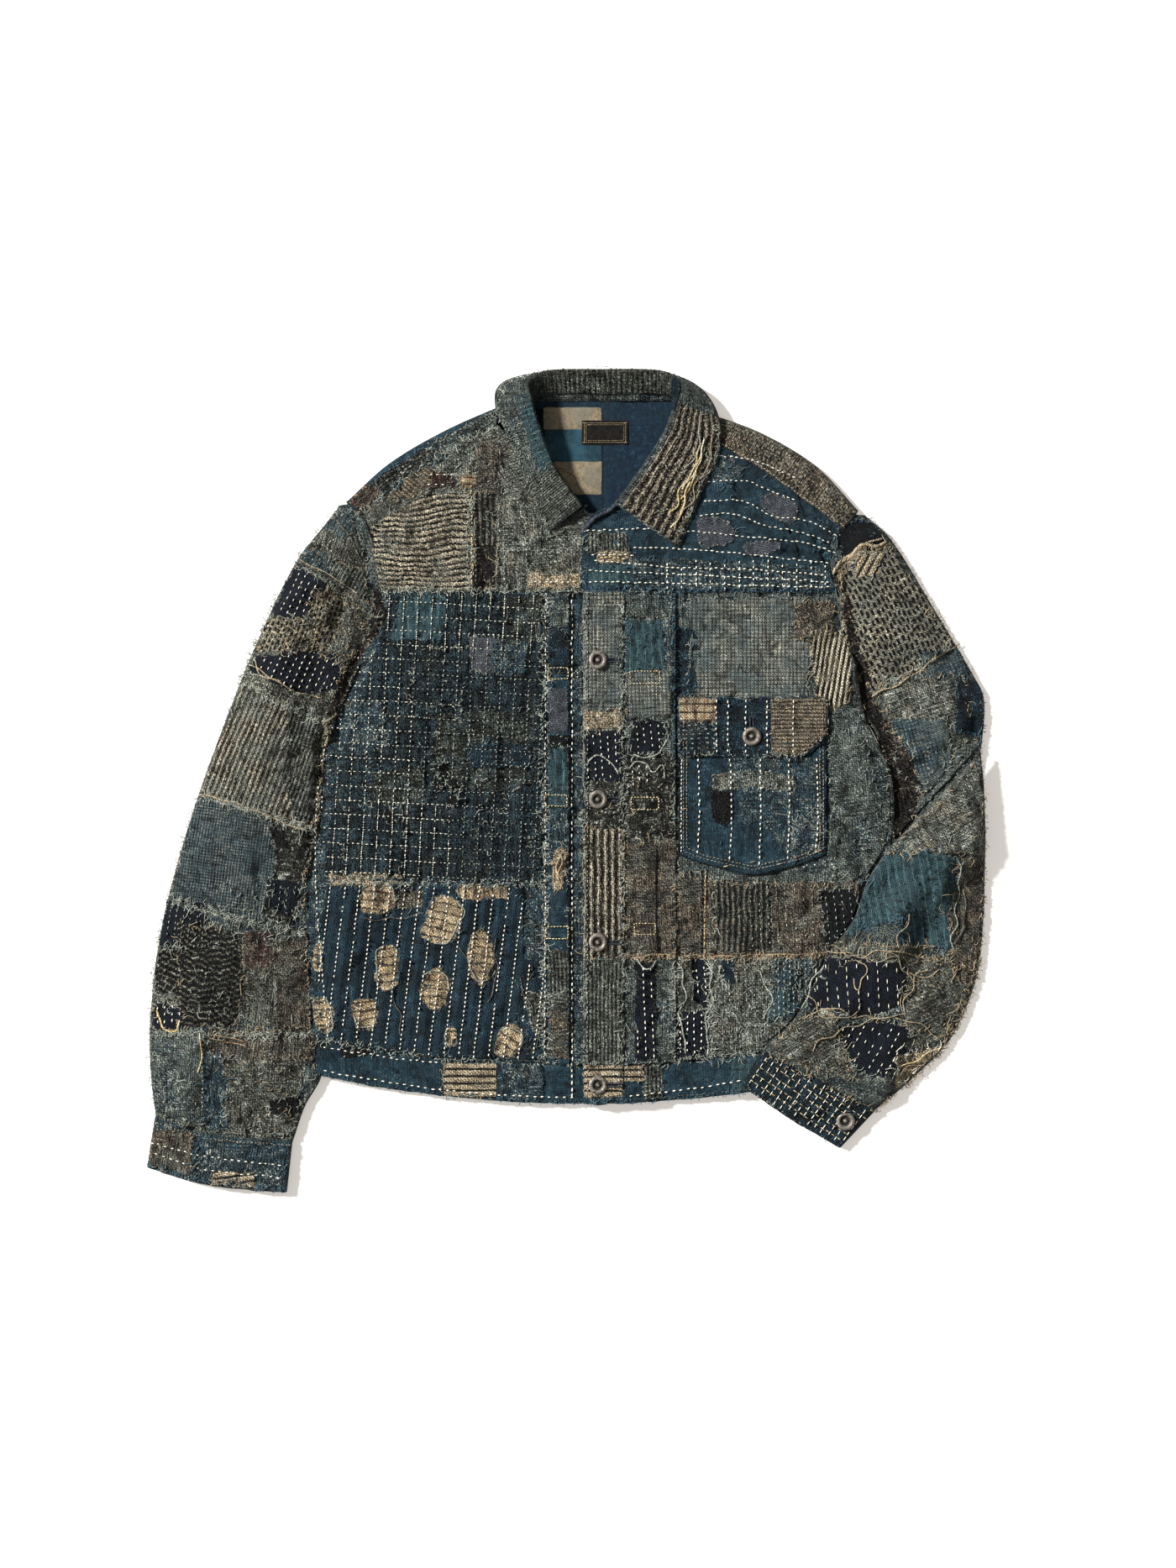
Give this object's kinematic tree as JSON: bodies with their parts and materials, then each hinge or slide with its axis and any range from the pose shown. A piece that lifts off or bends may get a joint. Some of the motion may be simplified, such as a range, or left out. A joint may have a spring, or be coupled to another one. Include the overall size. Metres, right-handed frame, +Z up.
{
  "type": "patched boro jacket",
  "caption": "Patched boro work jacket of quilted indigo and grey cotton, laid flat, one sleeve bent across the front.",
  "frame": {"origin": "on the surface that the jacket lies on, beneath the middle of its outline", "axes": "+Z up from that surface, +Y from the hem towards the collar, +X towards the wearer's left arm, which is the bent sleeve"},
  "size_m": [0.76, 0.7453, 0.0254],
  "materials": {
    "indigo_cloth": "matte",
    "slate_cloth": "matte",
    "teal_cloth": "matte",
    "navy_cloth": "matte",
    "grey_cloth": "matte",
    "brown_cloth": "matte",
    "beige_cloth": "matte",
    "lining_cloth": "matte",
    "label_cloth": "satin",
    "pewter": "satin"
  },
  "bodies": {
    "root": {"back_panel": "slate_cloth", "back_yoke": "grey_cloth", "button_cuff_right": "pewter", "button_flap": "pewter", "button_front_1": "pewter", "button_front_2": "pewter", "button_front_3": "pewter", "button_front_4": "pewter", "chest_pocket": "slate_cloth", "collar": "grey_cloth", "cuff_left": "teal_cloth", "cuff_right": "indigo_cloth", "front_left": "indigo_cloth", "front_pleat_left": "slate_cloth", "front_pleat_right": "grey_cloth", "front_right": "slate_cloth", "front_yoke_left": "grey_cloth", "front_yoke_right": "indigo_cloth", "neck_label": "label_cloth", "neck_lining": "lining_cloth", "patch_arm_dashes": "beige_cloth", "patch_brown_front": "brown_cloth", "patch_check_chest": "grey_cloth", "patch_forearm_navy": "navy_cloth", "patch_forearm_slub": "grey_cloth", "patch_forearm_teal": "teal_cloth", "patch_kasuri_waist": "indigo_cloth", "patch_navy_front": "navy_cloth", "patch_sashiko_chest": "indigo_cloth", "patch_sleeve_cap": "slate_cloth", "patch_sleeve_end": "teal_cloth", "patch_sleeve_slub": "beige_cloth", "patch_sleeve_stripe": "beige_cloth", "patch_sleeve_teal": "teal_cloth", "patch_slub_side": "grey_cloth", "patch_striped_side": "beige_cloth", "patch_striped_yoke": "beige_cloth", "placket": "brown_cloth", "pocket_flap": "brown_cloth", "sleeve_left_top": "grey_cloth", "sleeve_left_under": "grey_cloth", "sleeve_right_lower_top": "brown_cloth", "sleeve_right_lower_under": "slate_cloth", "sleeve_right_upper_top": "grey_cloth", "sleeve_right_upper_under": "grey_cloth", "waistband_back": "slate_cloth", "waistband_left": "slate_cloth", "waistband_right": "indigo_cloth", "yoke_shoulder_left": "slate_cloth", "yoke_shoulder_right": "brown_cloth"}
  },
  "joints": []
}
